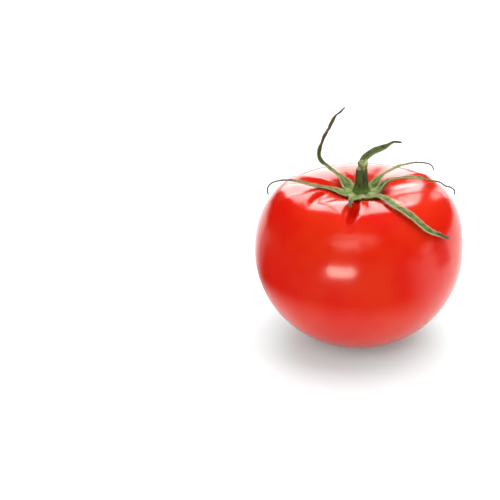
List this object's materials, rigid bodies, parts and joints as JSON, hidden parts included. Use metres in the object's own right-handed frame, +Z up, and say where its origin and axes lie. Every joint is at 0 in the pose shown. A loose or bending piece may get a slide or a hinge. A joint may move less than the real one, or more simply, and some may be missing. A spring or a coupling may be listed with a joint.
{
  "type": "tomato",
  "caption": "Round ripe red tomato with pleated shoulders, a green star crown of narrow curling sepals and a short ribbed stub of stalk.",
  "frame": {"origin": "middle of the flat spot on the underside that the fruit rests on", "axes": "+Z up through the crown and the stalk, -Y the front, +X to the right seen from the front"},
  "size_m": [0.075, 0.075, 0.0853],
  "materials": {
    "skin": "smooth glossy ripe skin, deep red with an orange cast",
    "calyx_green": "soft hairy leaf, mid green with paler edges and veins",
    "stalk_green": "ribbed dark green stem, paler and rough where it broke off"
  },
  "bodies": {
    "root": {"fruit": "skin", "crown_disc": "calyx_green", "stalk": "stalk_green", "sepal_front": "calyx_green", "sepal_front_right": "calyx_green", "sepal_right": "calyx_green", "sepal_back_right": "calyx_green", "sepal_back": "calyx_green", "sepal_back_left": "calyx_green", "sepal_left": "calyx_green"}
  },
  "joints": []
}
